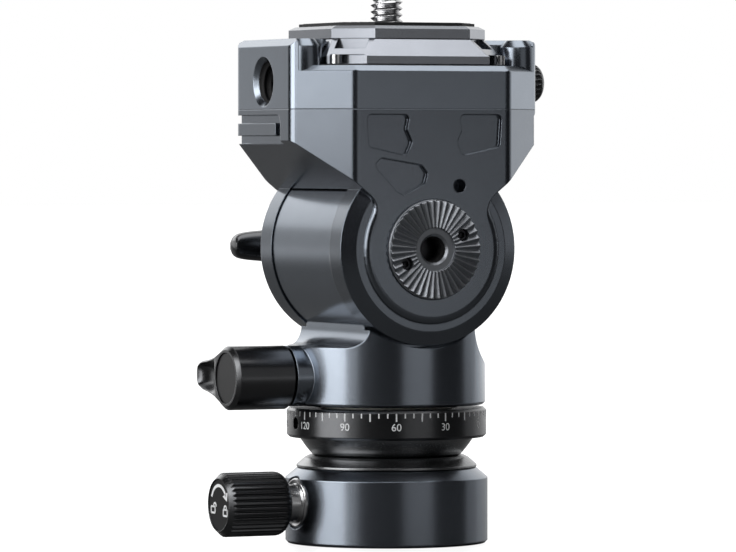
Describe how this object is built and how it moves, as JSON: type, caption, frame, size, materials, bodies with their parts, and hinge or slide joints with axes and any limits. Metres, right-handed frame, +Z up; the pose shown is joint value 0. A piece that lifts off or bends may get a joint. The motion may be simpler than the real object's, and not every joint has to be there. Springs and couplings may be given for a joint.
{
  "type": "fluid video head",
  "caption": "Compact fluid video head: levelling half-ball base, graduated pan column, damped tilt drum between cheeks, toothed rosette, lever locks and a dovetail clamp with camera plate.",
  "frame": {"origin": "centre of the base's underside, on the tripod thread", "axes": "+Z up along the pan axis, the tilt axis along Y, the rosette towards -Y, the lock knobs towards -X"},
  "size_m": [0.0696, 0.0571, 0.1077],
  "materials": {
    "body_metal": "satin anodised",
    "black_metal": "satin black",
    "plate_metal": "satin anodised",
    "steel": "turned",
    "dark_steel": "black oxide",
    "bronze": "turned",
    "polymer": "matte",
    "pad_rubber": "matte"
  },
  "bodies": {
    "base": {"base_housing": "body_metal", "base_plate": "steel", "level_bush": "steel"},
    "level_shoe": {"level_shoe": "bronze"},
    "level_knob": {"level_knob": "black_metal", "level_knob_cap": "black_metal", "level_screw": "steel"},
    "level_seat": {"seat_ring": "black_metal"},
    "level_ball": {"half_ball": "black_metal", "draw_bolt": "steel", "spherical_washer": "steel", "scale_ring": "black_metal", "scale_ring_screw": "dark_steel", "pan_spindle": "steel", "thrust_washer": "polymer", "pan_damper_disc": "bronze", "spindle_nut": "steel"},
    "pan": {"column": "body_metal", "pan_bearing": "bronze", "tilt_bearing_near": "bronze", "tilt_bearing_far": "bronze", "damper_stator": "steel"},
    "pan_pad": {"pan_brake_pad": "bronze"},
    "pan_lever": {"pan_lever": "black_metal", "pan_lever_cap": "black_metal", "pan_screw": "steel"},
    "tilt": {"tilt_body": "body_metal", "tilt_axle": "steel", "damper_rotor": "bronze", "rosette": "body_metal", "rosette_screws": "dark_steel", "clamp_base": "body_metal", "clamp_screws": "dark_steel", "release_spring": "steel"},
    "tilt_clamp": {"tilt_washer": "bronze"},
    "tilt_lever": {"tilt_lever": "black_metal", "tilt_lever_cap": "black_metal", "tilt_lever_nut": "bronze"},
    "release": {"release_knob": "black_metal", "plunger_rod": "steel", "latch_jaw": "steel"},
    "plate": {"qr_plate": "plate_metal", "plate_pad": "pad_rubber", "plate_stops": "steel"},
    "camera_screw": {"camera_screw": "steel"}
  },
  "joints": [
    {"name": "level_shoe_slide", "type": "slide", "parent": "base", "child": "level_shoe", "axis": [-1, 0, 0], "range_m": [0, 0.0011]},
    {"name": "level_knob_turn", "type": "hinge", "parent": "level_shoe", "child": "level_knob", "pos_m": [-0.029, 0, 0.0082], "axis": [-1, 0, 0], "range_deg": [0, 360]},
    {"name": "level_direction", "type": "hinge", "parent": "base", "child": "level_seat", "pos_m": [0, 0, 0.0312], "axis": [0, 0, 1], "continuous": true},
    {"name": "level_tilt", "type": "hinge", "parent": "level_seat", "child": "level_ball", "pos_m": [0, 0, 0.0312], "axis": [0, 1, 0], "range_deg": [-10, 10]},
    {"name": "pan_turn", "type": "hinge", "parent": "level_ball", "child": "pan", "pos_m": [0, 0, 0.0329], "axis": [0, 0, 1], "continuous": true},
    {"name": "pan_pad_slide", "type": "slide", "parent": "pan", "child": "pan_pad", "axis": [-1, 0, 0], "range_m": [0, 0.00015]},
    {"name": "pan_lever_turn", "type": "hinge", "parent": "pan_pad", "child": "pan_lever", "pos_m": [-0.0272, 0, 0.0329], "axis": [-1, 0, 0], "range_deg": [0, 45]},
    {"name": "tilt_turn", "type": "hinge", "parent": "pan", "child": "tilt", "pos_m": [0, 0, 0.0581], "axis": [0, 1, 0], "range_deg": [-60, 90]},
    {"name": "tilt_washer_slide", "type": "slide", "parent": "tilt", "child": "tilt_clamp", "axis": [0, 1, 0], "range_m": [0, 0.00022]},
    {"name": "tilt_lever_turn", "type": "hinge", "parent": "tilt_clamp", "child": "tilt_lever", "pos_m": [0, 0.029, 0.0581], "axis": [0, 1, 0], "range_deg": [0, 60]},
    {"name": "release_pull", "type": "slide", "parent": "tilt", "child": "release", "axis": [1, 0, 0], "range_m": [0, 0.0025], "stiffness_N_per_m": 600, "springref_m": -0.003, "deforming": ["release_spring"]},
    {"name": "plate_slide", "type": "slide", "parent": "tilt", "child": "plate", "axis": [0, -1, 0], "range_m": [0, 0.045]},
    {"name": "camera_screw_turn", "type": "hinge", "parent": "plate", "child": "camera_screw", "pos_m": [0, 0, 0.1], "axis": [0, 0, 1], "continuous": true}
  ],
  "couplings": [
    {"joint": "level_shoe_slide", "follows": "level_knob_turn", "m_per_rad": 0.00012732},
    {"joint": "pan_pad_slide", "follows": "pan_lever_turn", "m_per_rad": 0.00012732},
    {"joint": "tilt_washer_slide", "follows": "tilt_lever_turn", "m_per_rad": 0.00015915}
  ]
}
